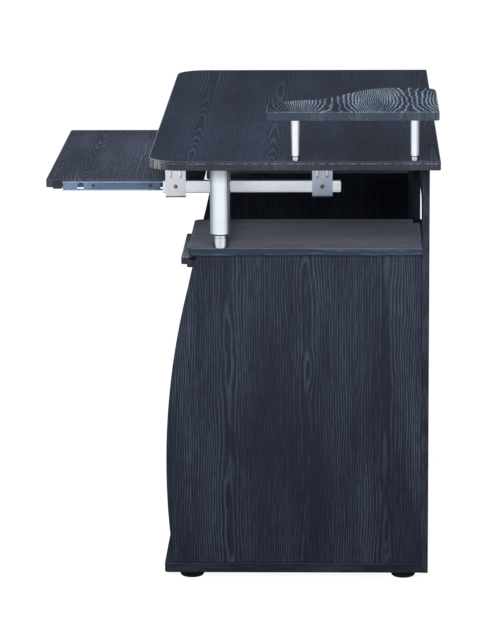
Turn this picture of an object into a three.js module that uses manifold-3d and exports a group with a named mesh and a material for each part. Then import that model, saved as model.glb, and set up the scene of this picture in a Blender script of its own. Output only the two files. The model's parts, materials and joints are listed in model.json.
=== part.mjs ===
// Computer desk with two pedestals, a pull-out keyboard tray, a pull-out board and a raised shelf.
// Millimetres, +Z up, +X to the desk's right end, +Y to its back. At rest the keyboard tray is
// drawn out to its stop and the board is home. The origin is on the floor, midway between the
// tray's front edge and the desktop's rear edge.
import * as THREE from "three";
import { mergeVertices } from "three/addons/utils/BufferGeometryUtils.js";
import Module from "manifold-3d";

const wasm = await Module();
wasm.setup();

// ---- driving dimensions ----

const DESK_WIDTH = 1160;
const DESK_DEPTH = 532;
const DESK_TOP = 800;
const DESKTOP_THICK = 17;
const DESKTOP_CORNER = 60;
const DESKTOP_REAR_CORNER = 4;
const DESK_UNDERSIDE = DESK_TOP - DESKTOP_THICK;

const THIN_BOARD = 13;
const BASE_THICK = 18;
const FOOT_HEIGHT = 15;
const FOOT_RADIUS = 22.5;
const FOOT_INSET = 36;
const FOOT_BACKS = { front: 71.5, rear: 467.5 };

const PEDESTAL_INSET = 37;
const PEDESTAL_WIDTH = 290;
const PEDESTAL_TOP = 632;
const PEDESTAL_FRONT = 71;
const PEDESTAL_CORNER = 14;
const BASE_FRONT = 21.5;
const BASE_CORNER = 8;
const SIDE_INSET = 4;
const BACK_FRONT = 500;
const LEFT_SHELF_HEIGHT = 300;
const LEFT_SHELF_FRONT = 60;

const CURVE_RADIUS = 1380;
const CURVE_NOSE = 26.5;
const CURVE_HEIGHT = 215;

const CABLE_NOTCH = { width: 40, depth: 12 };
const BACK_OPENING = { from: 126, height: 77, corner: 36 };
const MODESTY_BOTTOM = 433;

const POST = { radius: 18.7, wall: 1.5, collarRadius: 13.6, collarHeight: 26, inset: 53, back: 130.5 };
const SHELF_POST = { radius: 8.3, wall: 1.2, collarRadius: 7.2, collarHeight: 9 };
const SHELF_TOP = 890;
const SHELF_THICK = 16;
const SHELF_FRONT = 216;
const SHELF_REAR = 529;
const SHELF_OUTLINE = {
  frontCorner: 8, rearCorner: 6, tip: 78, waist: 147, waistBack: 300, wide: 295, shoulderBack: 452,
  rearTurn: 35, swell: 5,
};
const SHELF_POSTS = [
  { name: "front", inset: 11.5, back: 269 },
  { name: "rear", inset: 11.5, back: 484.2 },
  { name: "inner", inset: 261, back: 489 },
];

const TRAY = { width: 588, front: -210, rear: 88, top: 716.5, thick: 15, corner: 6 };
const TRAY_SLIDE = { front: 13.5, length: 337, centre: 705, travel: 190 };
const BOARD = { front: 57, depth: 343, top: 610, thick: 13, corner: 4 };
const BOARD_SLIDE = { front: 88, length: 300, centre: 598 };

const SLIDE_GAP = 12;
const MEMBER_STAGGER = 1.5;
const SHEET = 1.2;
const OUTER = { height: 24.6, depth: 8.4 };
const INNER = { height: 17.2, depth: 7.7, back: 0.3 };
const CAGE = { height: 19.8, sheet: 0.8, near: 1.9, depth: 6.1 };
const TRAY_CAGE = { front: 16, length: 140 };
const BOARD_CAGE = { front: 193, length: 90 };
const BUMPER = { length: 18.5, height: 15, depth: 8.5, lift: 2.5, corner: 3 };
const LATCH_WINDOWS = [{ back: 28, width: 12 }, { back: 186, width: 5 }];
const LATCH_WINDOW_HEIGHT = 12;
const INNER_HOLES = [60, 168, 290];
const INNER_HOLE_RADIUS = 1.8;

const BRACKET = { width: 38.5, sheet: 2, bottom: 684, flange: 22, lip: 9, backs: [37.5, 315.5] };
const SCREW = { headRadius: 3.9, headHeight: 2.2, shankRadius: 2, shankLength: 3.2 };
const BOARD_SCREW_BACKS = [30, 262];

const FIT = 0.3;
const ROUND_STEPS = 32;
const ARC_STEPS = 10;
const DESKTOP_CORNER_STEPS = 18;
const LONG_ARC_STEPS = 30;
const SMALL_CORNER_STEPS = 5;

// ---- materials ----

const finish = (color, roughness, metalness) =>
  new THREE.MeshStandardMaterial({ color, roughness, metalness });
const blackAsh = finish(0x333a47, 0.42, 0.0);
const shelfAsh = finish(0x4a515e, 0.38, 0.0);
const satinSilver = finish(0xc9ccd0, 0.32, 0.9);
const zincSteel = finish(0x8493ad, 0.35, 0.9);
const blackPlastic = finish(0x17181b, 0.5, 0.0);
const brass = finish(0xb08a4a, 0.35, 0.9);

// ---- solids: joins and cuts ----

function solidOf(geometry) {
  const bare = geometry.index ? geometry.toNonIndexed() : geometry.clone();
  bare.deleteAttribute("normal");
  bare.deleteAttribute("uv");
  const merged = mergeVertices(bare, 1e-4);
  const vertProperties = new Float32Array(merged.attributes.position.array);
  const triVerts = new Uint32Array(merged.index.array);
  return new wasm.Manifold(new wasm.Mesh({ numProp: 3, vertProperties, triVerts }));
}

function geometryOf(manifold) {
  const mesh = manifold.getMesh();
  const geometry = new THREE.BufferGeometry();
  geometry.setAttribute("position", new THREE.BufferAttribute(new Float32Array(mesh.vertProperties), 3));
  geometry.setIndex(new THREE.BufferAttribute(new Uint32Array(mesh.triVerts), 1));
  return geometry;
}

const join = (first, ...rest) => geometryOf(rest.reduce((sum, g) => sum.add(solidOf(g)), solidOf(first)));
const cut = (first, ...rest) => geometryOf(rest.reduce((sum, g) => sum.subtract(solidOf(g)), solidOf(first)));

// ---- shapes ----

const desk = new THREE.Group();

function part(name, geometry, material) {
  const mesh = new THREE.Mesh(geometry, material);
  mesh.name = name;
  desk.add(mesh);
  return mesh;
}

const box = (x0, x1, y0, y1, z0, z1) =>
  new THREE.BoxGeometry(x1 - x0, y1 - y0, z1 - z0).translate((x0 + x1) / 2, (y0 + y1) / 2, (z0 + z1) / 2);

// A rectangle whose four corners have their own radii: front-left, front-right, rear-right, rear-left.
function roundedRectangle(x0, x1, y0, y1, [frontLeft, frontRight, rearRight, rearLeft]) {
  const shape = new THREE.Shape();
  const quarter = Math.PI / 2;
  const corners = [
    [x0 + frontLeft, y0 + frontLeft, frontLeft, 2 * quarter],
    [x1 - frontRight, y0 + frontRight, frontRight, 3 * quarter],
    [x1 - rearRight, y1 - rearRight, rearRight, 0],
    [x0 + rearLeft, y1 - rearLeft, rearLeft, quarter],
  ];
  for (const [x, y, radius, start] of corners) {
    if (radius > 0) shape.absarc(x, y, radius, start, start + quarter, false);
    else shape.lineTo(x, y);
  }
  return shape;
}

const extrude = (shape, depth, curveSegments = ARC_STEPS) =>
  new THREE.ExtrudeGeometry(shape, { depth, bevelEnabled: false, curveSegments });

// A flat board whose outline is drawn in X and Y.
const flatBoard = (shape, bottom, thick, steps) => extrude(shape, thick, steps).translate(0, 0, bottom);

// A profile drawn in X and Z, run along Y from y0 to y1.
const alongY = (shape, y0, y1) => extrude(shape, y1 - y0).rotateX(Math.PI / 2).translate(0, y1, 0);

// A profile drawn in Y and Z, run along X from x0 to x1.
const yIsX = new THREE.Matrix4().makeBasis(
  new THREE.Vector3(0, 1, 0), new THREE.Vector3(0, 0, 1), new THREE.Vector3(1, 0, 0));
const alongX = (shape, x0, x1, steps) =>
  extrude(shape, x1 - x0, steps).applyMatrix4(yIsX).translate(x0, 0, 0);

function polygon(points) {
  return new THREE.Shape(points.map(([x, y]) => new THREE.Vector2(x, y)));
}

// A turned piece on a vertical axis, from [radius, height] pairs that start and end on the axis
// or close on themselves.
function turned(profile, x, y, z) {
  const points = profile.map(([radius, height]) => new THREE.Vector2(radius, height));
  return new THREE.LatheGeometry(points, ROUND_STEPS).rotateX(Math.PI / 2).translate(x, y, z);
}

const rodAlongX = (radius, x0, x1, y, z) =>
  new THREE.CylinderGeometry(radius, radius, x1 - x0, ROUND_STEPS / 2)
    .rotateZ(Math.PI / 2).translate((x0 + x1) / 2, y, z);

// side is +1 at the desk's right end and -1 at its left end; inset is the distance in from that end.
const across = (side, inset) => side * (DESK_WIDTH / 2 - inset);
const span = (side, a, b) => [across(side, a), across(side, b)].sort((p, q) => p - q);

// ---- desktop and raised shelf ----

function makeDesktop() {
  const half = DESK_WIDTH / 2;
  const radii = [DESKTOP_CORNER, DESKTOP_CORNER, DESKTOP_REAR_CORNER, DESKTOP_REAR_CORNER];
  const outline = roundedRectangle(-half, half, 0, DESK_DEPTH, radii);
  part("desktop", flatBoard(outline, DESK_UNDERSIDE, DESKTOP_THICK, DESKTOP_CORNER_STEPS), blackAsh);
}

// The shelf is narrow at the front and wide at the back, with a waved inner edge.
function makeShelf() {
  const { frontCorner, rearCorner, tip, waist, waistBack } = SHELF_OUTLINE;
  const { wide, shoulderBack, rearTurn, swell } = SHELF_OUTLINE;
  const x = (inset) => across(1, inset);
  const outline = new THREE.Shape();
  outline.moveTo(x(frontCorner), SHELF_FRONT);
  outline.quadraticCurveTo(x(0), SHELF_FRONT, x(0), SHELF_FRONT + frontCorner);
  outline.lineTo(x(0), SHELF_REAR - rearCorner);
  outline.quadraticCurveTo(x(0), SHELF_REAR, x(rearCorner), SHELF_REAR);
  outline.lineTo(x(wide - rearTurn), SHELF_REAR);
  outline.quadraticCurveTo(x(wide), SHELF_REAR, x(wide), SHELF_REAR - rearTurn);
  outline.lineTo(x(wide), shoulderBack);
  outline.bezierCurveTo(x(wide + swell), shoulderBack - 2 * rearTurn,
    x(waist), waistBack + rearTurn, x(waist), waistBack);
  outline.bezierCurveTo(x(waist), waistBack - rearTurn, x(tip + rearTurn), SHELF_FRONT, x(tip), SHELF_FRONT);
  const bottom = SHELF_TOP - SHELF_THICK;
  part("elevated_shelf", flatBoard(outline, bottom, SHELF_THICK, DESKTOP_CORNER_STEPS), shelfAsh);
}

function tube(radius, wall, height) {
  const inner = radius - wall;
  return [[inner, 0], [radius, 0], [radius, height], [inner, height], [inner, 0]];
}

function collar(radius, height, edge) {
  return [[0, 0], [radius - edge, 0], [radius, edge], [radius, height], [0, height]];
}

function makePost(name, size, x, y, bottom, top) {
  const ring = collar(size.collarRadius, size.collarHeight, 0.6);
  const joint = bottom + size.collarHeight;
  part(`${name}_collar`, turned(ring, x, y, bottom), satinSilver);
  part(name, turned(tube(size.radius, size.wall, top - joint), x, y, joint), satinSilver);
}

// ---- pedestals ----

const sideName = (side) => (side > 0 ? "right" : "left");

// The front edge of every side panel is one long arc.
function sideOutline(bottom, top) {
  const centre = [CURVE_NOSE + CURVE_RADIUS, CURVE_HEIGHT];
  const angleAt = (height) => Math.PI - Math.asin((height - CURVE_HEIGHT) / CURVE_RADIUS);
  const outline = new THREE.Shape();
  outline.moveTo(BACK_FRONT, bottom);
  outline.lineTo(centre[0] + CURVE_RADIUS * Math.cos(angleAt(bottom)), bottom);
  outline.absarc(...centre, CURVE_RADIUS, angleAt(bottom), angleAt(top), true);
  outline.lineTo(BACK_FRONT, top);
  return outline;
}

function makePedestal(side) {
  const name = sideName(side);
  const outer = PEDESTAL_INSET;
  const inner = PEDESTAL_INSET + PEDESTAL_WIDTH;
  const [x0, x1] = span(side, outer, inner);
  const baseTop = FOOT_HEIGHT + BASE_THICK;
  const topUnderside = PEDESTAL_TOP - THIN_BOARD;

  const baseRadii = [BASE_CORNER, BASE_CORNER, 0, 0];
  const base = roundedRectangle(x0, x1, BASE_FRONT, BACK_FRONT, baseRadii);
  part(`${name}_base`, flatBoard(base, FOOT_HEIGHT, BASE_THICK, SMALL_CORNER_STEPS), blackAsh);

  for (const [place, from] of [["outer", outer + SIDE_INSET], ["inner", inner - SIDE_INSET - THIN_BOARD]]) {
    const [a, b] = span(side, from, from + THIN_BOARD);
    part(`${name}_${place}_side`, alongX(sideOutline(baseTop, topUnderside), a, b, LONG_ARC_STEPS), blackAsh);
  }

  const topRadii = [PEDESTAL_CORNER, PEDESTAL_CORNER, 0, 0];
  const top = roundedRectangle(x0, x1, PEDESTAL_FRONT, BACK_FRONT, topRadii);
  const [n0, n1] = span(side, inner - CABLE_NOTCH.width, inner + 1);
  const notchFront = BACK_FRONT - CABLE_NOTCH.depth;
  const notch = box(n0, n1, notchFront, BACK_FRONT + 1, topUnderside - 1, PEDESTAL_TOP + 1);
  const topBoard = flatBoard(top, topUnderside, THIN_BOARD);
  part(`${name}_pedestal_top`, cut(topBoard, notch), blackAsh);

  makeBack(side, outer, inner);
  for (const [place, inset] of [["outer", outer + FOOT_INSET], ["inner", inner - FOOT_INSET]]) {
    for (const [end, back] of Object.entries(FOOT_BACKS)) {
      makeFoot(`${name}_${place}_${end}_foot`, across(side, inset), back);
    }
  }
  makePost(`${name}_desk_post`, POST, across(side, POST.inset), POST.back, PEDESTAL_TOP, DESK_UNDERSIDE);
}

// The back rises from the floor gap to the desktop, with an open corner for cables above the
// pedestal's top.
function makeBack(side, outer, inner) {
  const [outerX, innerX, mouthX] = [outer, inner, BACK_OPENING.from].map((inset) => across(side, inset));
  const low = PEDESTAL_TOP;
  const high = PEDESTAL_TOP + BACK_OPENING.height;
  const turn = BACK_OPENING.corner;
  const outline = new THREE.Shape();
  outline.moveTo(outerX, FOOT_HEIGHT);
  outline.lineTo(innerX, FOOT_HEIGHT);
  outline.lineTo(innerX, low);
  outline.lineTo(mouthX, low);
  outline.lineTo(mouthX, high - turn);
  outline.quadraticCurveTo(mouthX, high, mouthX - side * turn, high);
  outline.lineTo(innerX, high);
  outline.lineTo(innerX, DESK_UNDERSIDE);
  outline.lineTo(outerX, DESK_UNDERSIDE);
  const panel = alongY(outline, BACK_FRONT, BACK_FRONT + THIN_BOARD);
  part(`${sideName(side)}_back_panel`, panel, blackAsh);
}

function makeFoot(name, x, y) {
  const profile = [
    [0, 0], [17, 0], [19.5, 1.2], [21.2, 4], [FOOT_RADIUS, 9], [FOOT_RADIUS, FOOT_HEIGHT], [0, FOOT_HEIGHT],
  ];
  part(name, turned(profile, x, y, 0), blackPlastic);
}

function makeModestyPanel() {
  const half = DESK_WIDTH / 2 - PEDESTAL_INSET - PEDESTAL_WIDTH;
  const front = BACK_FRONT - THIN_BOARD;
  part("modesty_panel", box(-half, half, front, BACK_FRONT, MODESTY_BOTTOM, DESK_UNDERSIDE), blackAsh);
}

function makeLeftShelf() {
  const wall = PEDESTAL_INSET + SIDE_INSET + THIN_BOARD;
  const [x0, x1] = span(-1, wall, PEDESTAL_INSET * 2 + PEDESTAL_WIDTH - wall);
  const bottom = LEFT_SHELF_HEIGHT;
  part("left_pedestal_shelf",
    box(x0, x1, LEFT_SHELF_FRONT, BACK_FRONT, bottom, bottom + THIN_BOARD), blackAsh);
}

// ---- ball slides ----
// Sections are drawn with u across the slide gap, 0 at the fixed back plane and SLIDE_GAP at the
// moving board, and v up and down from the slide's centre.

function channel(near, far, height, sheet, webAtNear) {
  const h = height / 2;
  const i = h - sheet;
  const [web, open] = webAtNear ? [near, far] : [far, near];
  const inside = web + (webAtNear ? sheet : -sheet);
  return [[web, -h], [open, -h], [open, -i], [inside, -i], [inside, i], [open, i], [open, h], [web, h]];
}

// plane is the X of the fixed back plane and way is the X direction from it to the moving board.
function slideMember(section, plane, way, centre, front, length) {
  const outline = polygon(section.map(([u, v]) => [plane + way * u, centre + v]));
  return alongY(outline, front, front + length);
}

function outerMember(name, plane, way, slide, screwBacks) {
  const section = channel(0, OUTER.depth, OUTER.height, SHEET, true);
  const rail = slideMember(section, plane, way, slide.centre, slide.front, slide.length);
  const holes = screwBacks.map((back) =>
    rodAlongX(SCREW.shankRadius + FIT, plane - 3, plane + 3, back, slide.centre));
  part(name, cut(rail, ...holes), satinSilver);
}

function innerMember(name, plane, way, centre, front, length) {
  const far = SLIDE_GAP - INNER.back;
  const section = channel(far - INNER.depth, far, INNER.height, SHEET, false);
  const rail = slideMember(section, plane, way, centre, front, length);
  const [x0, x1] = [plane + way * (far - 3), plane + way * (far + 1)].sort((p, q) => p - q);
  const holes = INNER_HOLES.map((back) =>
    rodAlongX(INNER_HOLE_RADIUS, x0, x1, front + back, centre));
  const half = LATCH_WINDOW_HEIGHT / 2;
  const windows = LATCH_WINDOWS.map(({ back, width }) =>
    box(x0, x1, front + back, front + back + width, centre - half, centre + half));
  part(name, cut(rail, ...windows, ...holes), zincSteel);
}

function ballCage(name, plane, way, centre, cage) {
  const section = channel(CAGE.near, CAGE.near + CAGE.depth, CAGE.height, CAGE.sheet, true);
  part(name, slideMember(section, plane, way, centre, cage.front, cage.length), zincSteel);
}

// The black stop block on the front end of a moving member.
function bumper(name, plane, way, centre, rear) {
  const middle = centre + BUMPER.lift;
  const corners = [BUMPER.corner, BUMPER.corner, BUMPER.corner, BUMPER.corner];
  const outline = roundedRectangle(rear - BUMPER.length, rear - FIT, middle - BUMPER.height / 2,
    middle + BUMPER.height / 2, corners);
  const edge = SLIDE_GAP - FIT;
  const [x0, x1] = [plane + way * (edge - BUMPER.depth), plane + way * edge].sort((p, q) => p - q);
  part(name, alongX(outline, x0, x1, SMALL_CORNER_STEPS), blackPlastic);
}

// ---- keyboard tray ----

function makeTray() {
  const half = TRAY.width / 2;
  const radii = [TRAY.corner, TRAY.corner, TRAY.corner, TRAY.corner];
  const outline = roundedRectangle(-half, half, TRAY.front, TRAY.rear, radii);
  part("keyboard_tray", flatBoard(outline, TRAY.top - TRAY.thick, TRAY.thick, SMALL_CORNER_STEPS), blackAsh);
}

// A bent sheet bracket hangs each end of a fixed slide member under the desktop.
function makeBracket(name, side, plane, back) {
  const { width, sheet, bottom, flange, lip } = BRACKET;
  const x = (offset) => plane + side * offset;
  const top = DESK_UNDERSIDE;
  const section = polygon([
    [x(0), bottom + sheet], [x(-lip), bottom + sheet], [x(-lip), bottom], [x(sheet), bottom],
    [x(sheet), top - sheet], [x(flange), top - sheet], [x(flange), top], [x(0), top],
  ]);
  const sheetMetal = alongY(section, back - width / 2, back + width / 2);
  const hole = rodAlongX(SCREW.shankRadius + FIT, plane - 4, plane + 4, back, TRAY_SLIDE.centre);
  part(name, cut(sheetMetal, hole), satinSilver);
}

function makeScrew(name, side, headPlane, back, centre) {
  const head = [headPlane + side * FIT, headPlane + side * (FIT + SCREW.headHeight)].sort((p, q) => p - q);
  const tip = [headPlane - side * SCREW.shankLength, headPlane + side].sort((p, q) => p - q);
  part(name, join(
    rodAlongX(SCREW.headRadius, ...head, back, centre),
    rodAlongX(SCREW.shankRadius, ...tip, back, centre)), brass);
}

function makeTraySlides() {
  const innerFront = TRAY_SLIDE.front - TRAY_SLIDE.travel - MEMBER_STAGGER;
  for (const side of [1, -1]) {
    const name = sideName(side);
    const plane = side * (TRAY.width / 2 + SLIDE_GAP);
    outerMember(`${name}_tray_slide_outer`, plane, -side, TRAY_SLIDE, BRACKET.backs);
    innerMember(`${name}_tray_slide_inner`, plane, -side, TRAY_SLIDE.centre, innerFront, TRAY_SLIDE.length);
    ballCage(`${name}_tray_slide_cage`, plane, -side, TRAY_SLIDE.centre, TRAY_CAGE);
    bumper(`${name}_tray_bumper`, plane, -side, TRAY_SLIDE.centre, innerFront);
    for (const [place, back] of [["front", BRACKET.backs[0]], ["rear", BRACKET.backs[1]]]) {
      makeBracket(`${name}_${place}_bracket`, side, plane + side * FIT, back);
      makeScrew(`${name}_${place}_bracket_screw`, side, plane + side * (FIT + BRACKET.sheet), back,
        TRAY_SLIDE.centre);
    }
  }
}

// ---- pull-out board in the right pedestal ----

function makeBoard() {
  const wall = PEDESTAL_INSET + SIDE_INSET + THIN_BOARD;
  const farWall = PEDESTAL_INSET * 2 + PEDESTAL_WIDTH - wall;
  const [x0, x1] = span(1, wall + SLIDE_GAP, farWall - SLIDE_GAP);
  const radii = [BOARD.corner, BOARD.corner, 0, 0];
  const outline = roundedRectangle(x0, x1, BOARD.front, BOARD.front + BOARD.depth, radii);
  const slab = flatBoard(outline, BOARD.top - BOARD.thick, BOARD.thick, SMALL_CORNER_STEPS);
  part("pull_out_board", slab, blackAsh);

  for (const [place, plane, way] of [["outer", across(1, wall), -1], ["inner", across(1, farWall), 1]]) {
    const { centre, front, length } = BOARD_SLIDE;
    const screws = BOARD_SCREW_BACKS.map((back) => front + back);
    outerMember(`board_${place}_slide_outer`, plane + way * FIT, way, BOARD_SLIDE, screws);
    innerMember(`board_${place}_slide_inner`, plane, way, centre, front - MEMBER_STAGGER, length);
    ballCage(`board_${place}_slide_cage`, plane, way, centre, BOARD_CAGE);
    bumper(`board_${place}_bumper`, plane, way, centre, front - MEMBER_STAGGER);
  }
}

// ---- assembly ----

makeDesktop();
makeShelf();
for (const { name, inset, back } of SHELF_POSTS) {
  makePost(`shelf_${name}_post`, SHELF_POST, across(1, inset), back, DESK_TOP, SHELF_TOP - SHELF_THICK);
}
for (const side of [1, -1]) makePedestal(side);
makeModestyPanel();
makeLeftShelf();
makeTray();
makeTraySlides();
makeBoard();

desk.position.y = -(DESK_DEPTH + TRAY.front) / 2;

export default desk;
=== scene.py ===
"""The looks of a computer desk in black ash laminate: eased boards with a printed grain, rolled ball slides,
satin posts, bent brackets and moulded feet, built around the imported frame.

Metres, +Z up, +X to the desk's right end and +Y to its back, as in the frame.
"""

import json
import math

import bmesh
import bpy
from mathutils import Matrix, Vector


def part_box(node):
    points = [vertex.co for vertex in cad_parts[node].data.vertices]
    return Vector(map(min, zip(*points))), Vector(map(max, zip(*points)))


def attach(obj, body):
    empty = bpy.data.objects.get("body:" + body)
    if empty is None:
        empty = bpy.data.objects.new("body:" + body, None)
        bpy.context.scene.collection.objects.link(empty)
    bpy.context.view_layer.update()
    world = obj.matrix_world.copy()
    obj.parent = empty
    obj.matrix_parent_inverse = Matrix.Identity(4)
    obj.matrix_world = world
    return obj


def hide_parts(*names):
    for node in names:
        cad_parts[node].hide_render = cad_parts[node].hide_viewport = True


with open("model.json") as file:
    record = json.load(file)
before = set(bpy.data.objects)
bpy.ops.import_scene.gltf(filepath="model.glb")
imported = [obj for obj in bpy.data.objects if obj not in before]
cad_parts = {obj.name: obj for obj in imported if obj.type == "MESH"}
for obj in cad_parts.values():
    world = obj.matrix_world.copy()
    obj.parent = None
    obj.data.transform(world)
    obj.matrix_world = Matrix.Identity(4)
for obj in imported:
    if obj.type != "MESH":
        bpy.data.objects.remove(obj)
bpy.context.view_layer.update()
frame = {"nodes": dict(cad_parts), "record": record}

X, Y, Z = 0, 1, 2
MM = 0.001
SIDES = {"right": 1, "left": -1}

# ---- sizes, in metres ----

DESKTOP_EASE = 4.5 * MM
SHELF_EASE = 1.8 * MM
BOARD_EASE = 0.8 * MM
LOW_EASE = 1.2 * MM

POST_STEPS = 96
FOOT_STEPS = 72

NECK_HEIGHT = 0.20
NECK_RADIUS = 0.70
COLLAR_GROOVE = 4.2 * MM
DESK_POST_WALL = 1.5 * MM
DESK_POST_RIM = 0.7 * MM
SHELF_POST_WALL = 1.2 * MM
SHELF_POST_RIM = 0.5 * MM

SLIDE_SHEET = 1.2 * MM
SLIDE_BEND = 1.4 * MM
SLIDE_CURL = 1.2 * MM
SLIDE_END_RADIUS = 4.0 * MM
RACE_DIP = 0.45 * MM
CAGE_SHEET = 0.8 * MM
BALL_RADIUS = 1.25 * MM
BALL_PITCH = 12.0 * MM

LATCH_WINDOWS = [(28 * MM, 12 * MM), (186 * MM, 5 * MM)]
LATCH_WINDOW_HEIGHT = 12 * MM
INNER_HOLES = [58.4 * MM, 167.2 * MM, 290 * MM]
INNER_HOLE_RADIUS = 2.4 * MM
HOLE_RIM_RADIUS = 3.6 * MM
HOLE_RIM_HEIGHT = 0.35 * MM
# A dark disc sits just inside each punched hole as painted shade.
HOLE_SHADE_RADIUS = INNER_HOLE_RADIUS - 0.05 * MM
HOLE_SHADE_DEPTHS = (0.1 * MM, 0.4 * MM)

BRACKET_SHEET = 2.0 * MM
BRACKET_BEND = 3.0 * MM
BRACKET_LIP = 9.0 * MM
BRACKET_ROWS = 48
BRACKET_STEPS = 40
RIB_OFFSET = 9.1 * MM
RIB_HALF_WIDTH = 3.2 * MM
RIB_HEIGHT = 1.6 * MM
RIB_LENGTH = 60.0 * MM
SCREW_DOME = 2.2 * MM
SCREW_SHANK_RADIUS = 2.0 * MM

FLOOR_DIM = 1.3
FLOOR_LIT = 2.4

CAMERA_AT = Vector((6.4964, 0.2059, 1.8184))
CAMERA_YAW = -0.030698
CAMERA_PITCH = 0.218221
CAMERA_ROLL = -0.006492
CAMERA_LENS = 186.44
SENSOR = 36.0


def linear(red, green, blue):
    """A display colour from 0 to 255 as the linear colour that a shader takes."""

    def channel(value):
        c = value / 255
        return c / 12.92 if c <= 0.04045 else ((c + 0.055) / 1.055) ** 2.4

    return (channel(red), channel(green), channel(blue), 1.0)


# ---- material nodes ----


def add(tree, kind, inputs=None, **settings):
    """A new node. An input is linked where it is a socket, and set where it is a value."""
    node = tree.nodes.new(kind)
    for key, value in settings.items():
        setattr(node, key, value)
    for socket, value in (inputs or {}).items():
        if isinstance(value, bpy.types.NodeSocket):
            tree.links.new(value, node.inputs[socket])
        else:
            node.inputs[socket].default_value = value
    return node


def calc(tree, operation, *values, clamp=False):
    node = add(tree, "ShaderNodeMath", dict(enumerate(values)), operation=operation, use_clamp=clamp)
    return node.outputs[0]


def remap(tree, value, low, high, to_low, to_high, smooth=False):
    kind = "SMOOTHSTEP" if smooth else "LINEAR"
    inputs = {"Value": value, "From Min": low, "From Max": high, "To Min": to_low, "To Max": to_high}
    return add(tree, "ShaderNodeMapRange", inputs, interpolation_type=kind).outputs["Result"]


def mix(tree, factor, first, second):
    node = add(tree, "ShaderNodeMix", data_type="RGBA")
    for socket, value in ((0, factor), (6, first), (7, second)):
        if isinstance(value, bpy.types.NodeSocket):
            tree.links.new(value, node.inputs[socket])
        else:
            node.inputs[socket].default_value = value
    return node.outputs[2]


def blend_past_end(tree, factor, first, second):
    """A blend of two colours that goes on brightening past the second one, as printed highlights do."""
    node = add(tree, "ShaderNodeMix", data_type="RGBA", clamp_factor=False)
    tree.links.new(factor, node.inputs[0])
    node.inputs[6].default_value = first
    node.inputs[7].default_value = second
    return node.outputs[2]


def noise(tree, vector, detail=2.0, roughness=0.5):
    inputs = {"Vector": vector, "Scale": 1.0, "Detail": detail, "Roughness": roughness}
    return add(tree, "ShaderNodeTexNoise", inputs).outputs["Fac"]


def stretched(tree, axes, scales, seed=0.0):
    """A vector of the coordinates times their scales, moved along so that each use has its own pattern."""
    parts = [calc(tree, "MULTIPLY_ADD", axis, scale, seed + k * 3.7)
             for k, (axis, scale) in enumerate(zip(axes, scales))]
    return add(tree, "ShaderNodeCombineXYZ", dict(enumerate(parts))).outputs[0]


def material_tree(name):
    material = bpy.data.materials.new(name)
    material.use_nodes = True
    tree = material.node_tree
    tree.nodes.clear()
    return material, tree


def surface(tree, inputs):
    shader = add(tree, "ShaderNodeBsdfPrincipled", inputs)
    output = add(tree, "ShaderNodeOutputMaterial")
    tree.links.new(shader.outputs[0], output.inputs["Surface"])


def axes_of(tree, along, across):
    """The object coordinates in a board's own order: along the grain, across it and through the board."""
    position = add(tree, "ShaderNodeTexCoord").outputs["Object"]
    xyz = add(tree, "ShaderNodeSeparateXYZ", {0: position}).outputs
    through = 3 - along - across
    return [xyz[along], xyz[across], xyz[through]]


# ---- ash laminate ----

ASH_LINE = [(0.0, 0.75), (0.06, 1.0), (0.26, 0.85), (0.46, 0.12), (0.62, 0.0), (1.0, 0.0)]


def grain_line(tree, place):
    """The paleness of a grain line from the distance behind its sharp side, in usual line spacings."""
    ramp = add(tree, "ShaderNodeValToRGB", {"Fac": place})
    elements = ramp.color_ramp.elements
    while len(elements) < len(ASH_LINE):
        elements.new(0.5)
    for element, (at, level) in zip(elements, ASH_LINE):
        element.position = at
        element.color = (level, level, level, 1.0)
    return ramp.outputs["Color"]


def barrel_figure(tree, along, across, spacing, barrels):
    """Where the lines lie in a figure of dense clusters. Lines bow outwards round each cluster and inwards
    between clusters, where they are also sparse. Returns the lines' phase and how crowded they are."""
    turn_per_metre = 2 * math.pi / barrels["pitch"]
    reach = calc(tree, "DIVIDE", calc(tree, "SUBTRACT", along, barrels["middle"]), barrels["reach"])
    turn = calc(tree, "MULTIPLY", calc(tree, "SUBTRACT", across, barrels["cluster"]), turn_per_metre)
    bend = calc(tree, "MULTIPLY", calc(tree, "MULTIPLY", reach, reach), calc(tree, "SINE", turn))
    bent = calc(tree, "MULTIPLY_ADD", bend, barrels["bend"], across)
    crowd_turn = calc(tree, "MULTIPLY", calc(tree, "SUBTRACT", bent, barrels["cluster"]), turn_per_metre)
    phase = calc(tree, "MULTIPLY_ADD", calc(tree, "SINE", crowd_turn), barrels["crowd"],
                 calc(tree, "DIVIDE", bent, spacing))
    swing = barrels["crowd"] * turn_per_metre * spacing
    return phase, calc(tree, "MULTIPLY_ADD", calc(tree, "COSINE", crowd_turn), swing, 1.0)


def arch_figure(tree, along, across, spacing, arches):
    """Where the lines lie in a figure of hearts that repeat across the board, with straight lines between
    them. Past the start, the lines over a heart turn into nested arches, whose legs spread along the grain.
    Returns the lines' phase and how strong they are, as they may fade towards the hearts."""
    turn = calc(tree, "MULTIPLY", calc(tree, "SUBTRACT", across, arches["heart"]), math.pi / arches["pitch"])
    swing = calc(tree, "SINE", turn)
    aside = calc(tree, "ARCSINE", swing)
    folded = calc(tree, "SQRT", calc(tree, "MULTIPLY_ADD", aside, aside, arches["round"] ** 2))
    wide = calc(tree, "MULTIPLY", folded, arches["pitch"] / math.pi / spacing)
    run = calc(tree, "MULTIPLY", calc(tree, "SUBTRACT", along, arches["start"]), arches["way"])
    near_heart = calc(tree, "SUBTRACT", 1.0, calc(tree, "MULTIPLY", swing, swing))
    run = calc(tree, "MULTIPLY", calc(tree, "MAXIMUM", run, 0.0), near_heart)
    phase = calc(tree, "MULTIPLY_ADD", run, -1 / arches["rise"], wide)
    return phase, calc(tree, "MULTIPLY_ADD", near_heart, -arches["fade"], 1.0)


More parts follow.
